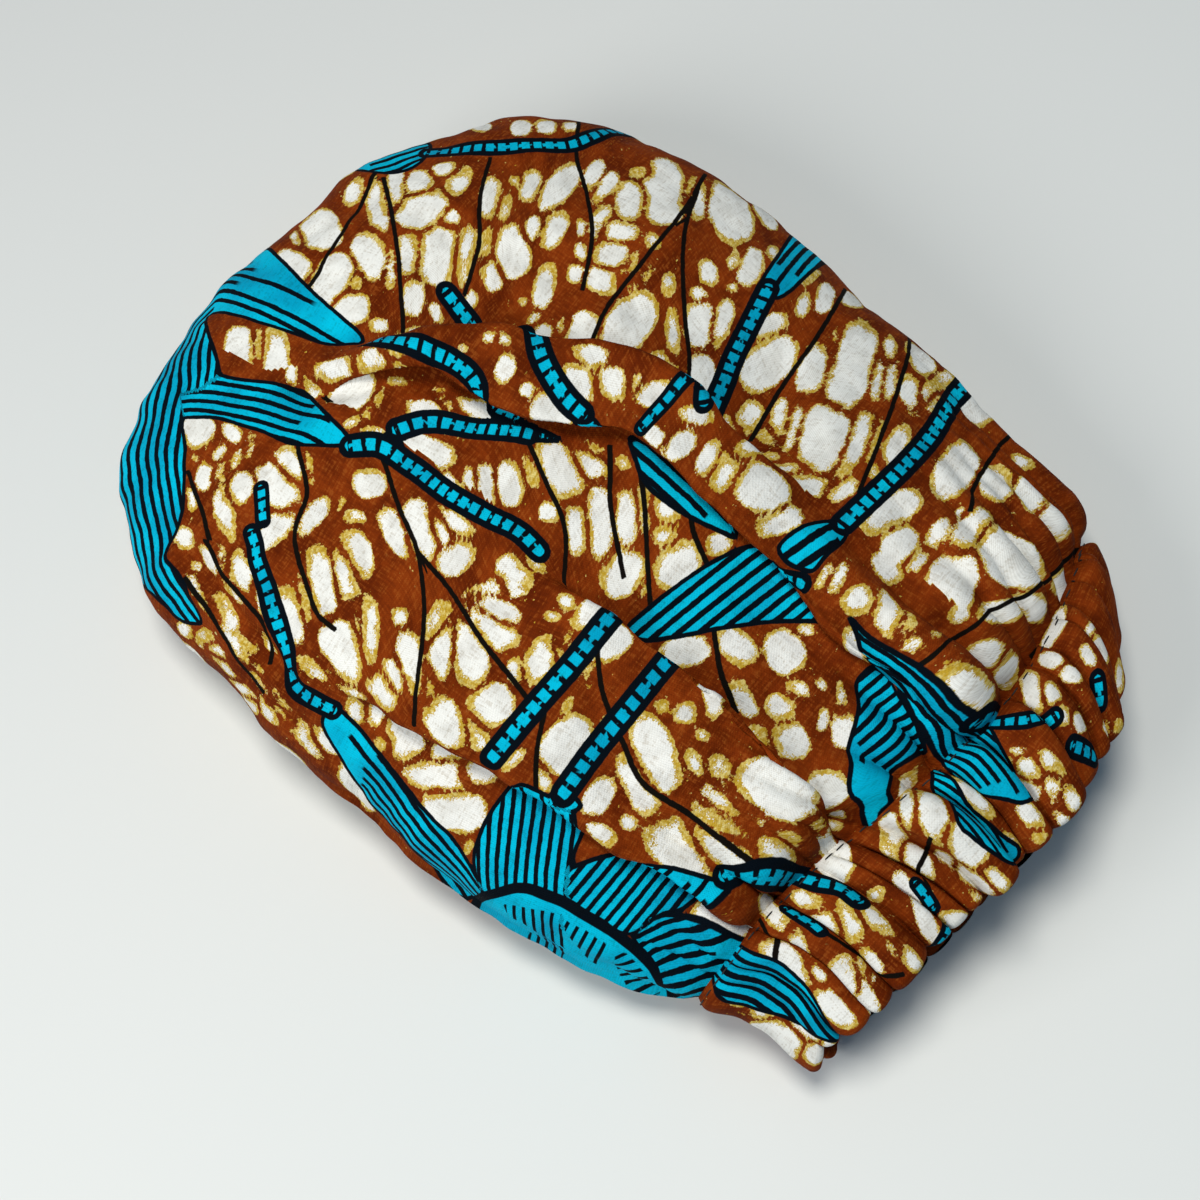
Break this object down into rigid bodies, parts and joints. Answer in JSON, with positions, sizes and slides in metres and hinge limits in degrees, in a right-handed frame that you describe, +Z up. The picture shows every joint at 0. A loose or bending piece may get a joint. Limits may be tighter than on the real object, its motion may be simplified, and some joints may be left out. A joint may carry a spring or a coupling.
{
  "type": "hair bonnet",
  "caption": "Puffy cotton hair bonnet with overlapping pleats and a gathered elastic mouth, lying on its side",
  "frame": {"origin": "middle of the bounding box's underside, on the plane that the bonnet rests on", "axes": "+Z up; the mouth faces -Y and the crown's far end is at +Y; +X is to the right for someone who looks along +Y"},
  "size_m": [0.2395, 0.3219, 0.0891],
  "materials": {
    "printed_cloth": "matt printed plain-weave cotton: brown crackle ground, white cells, mustard fringes and turquoise motifs",
    "casing_cloth": "the same printed cotton, gathered over the elastic"
  },
  "bodies": {
    "root": {"crown": "printed_cloth", "gathered_casing": "casing_cloth"}
  },
  "joints": []
}
